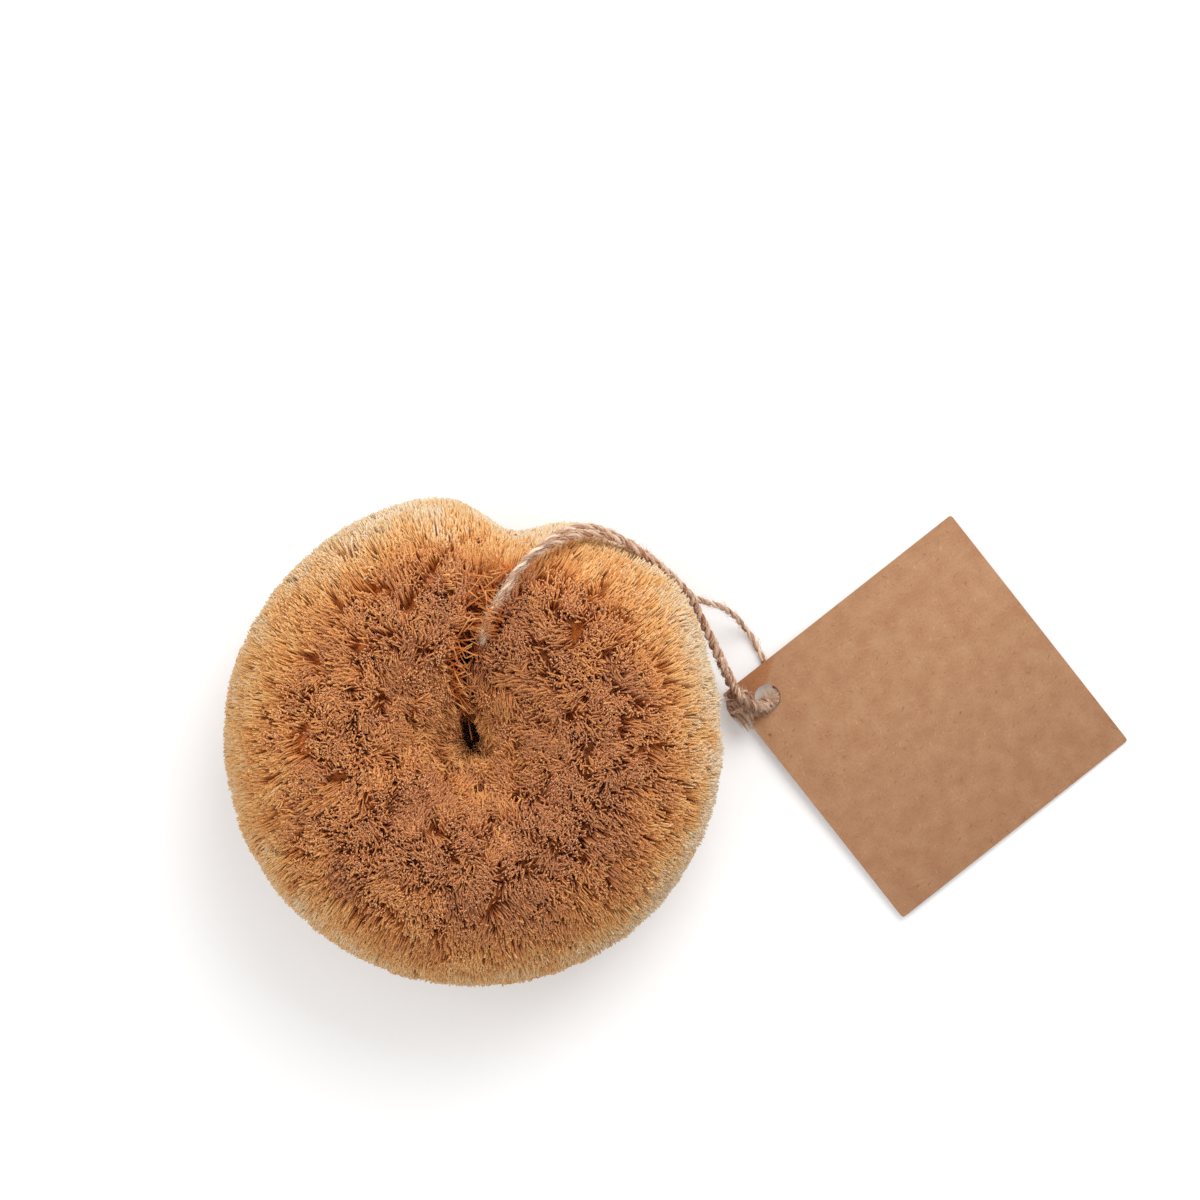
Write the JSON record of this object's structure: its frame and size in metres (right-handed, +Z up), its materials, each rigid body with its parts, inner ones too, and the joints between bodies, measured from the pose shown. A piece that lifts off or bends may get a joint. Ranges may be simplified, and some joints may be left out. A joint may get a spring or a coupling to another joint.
{
  "type": "round dish scrubber",
  "caption": "Ring-shaped dish scrubber of coir bristle bundles on a twisted wire core, with a knotted twine hanging loop and a blank square card tag.",
  "frame": {"origin": "middle of the bristle ring, on the surface that it lies on", "axes": "+Z up out of the ring's hole, +X towards the tag as pictured, +Y towards the seam where the twine leaves the ring, 7 degrees off"},
  "size_m": [0.1587, 0.085, 0.044],
  "materials": {
    "coir": "matte",
    "galvanised_wire": "satin",
    "jute_twine": "matte",
    "kraft_card": "matte"
  },
  "bodies": {
    "brush": {"bristle_bundle_01": "coir", "bristle_bundle_02": "coir", "bristle_bundle_03": "coir", "bristle_bundle_04": "coir", "bristle_bundle_05": "coir", "bristle_bundle_06": "coir", "bristle_bundle_07": "coir", "bristle_bundle_08": "coir", "bristle_bundle_09": "coir", "bristle_bundle_10": "coir", "bristle_bundle_11": "coir", "bristle_bundle_12": "coir", "bristle_bundle_13": "coir", "bristle_bundle_14": "coir", "bristle_bundle_15": "coir", "bristle_bundle_16": "coir", "bristle_bundle_17": "coir", "bristle_bundle_18": "coir", "bristle_bundle_19": "coir", "bristle_bundle_20": "coir", "core_wire": "galvanised_wire", "twine_loop": "jute_twine"},
    "twine_end": {"twine_bight": "jute_twine", "twine_tail": "jute_twine", "twine_knot": "jute_twine"},
    "tag": {"tag": "kraft_card"}
  },
  "joints": [
    {"name": "tag_lift", "type": "hinge", "parent": "brush", "child": "twine_end", "pos_m": [0.0442, 0.00825, 0.00173], "axis": [-0.1184, -0.993, 0], "range_deg": [0, 80], "deforming": ["twine_loop"]},
    {"name": "tag_turn", "type": "hinge", "parent": "twine_end", "child": "tag", "pos_m": [0.05165, 0.00736, 0.00155], "axis": [0.0239, -0.0029, 0.9997], "range_deg": [-40, 20]}
  ]
}
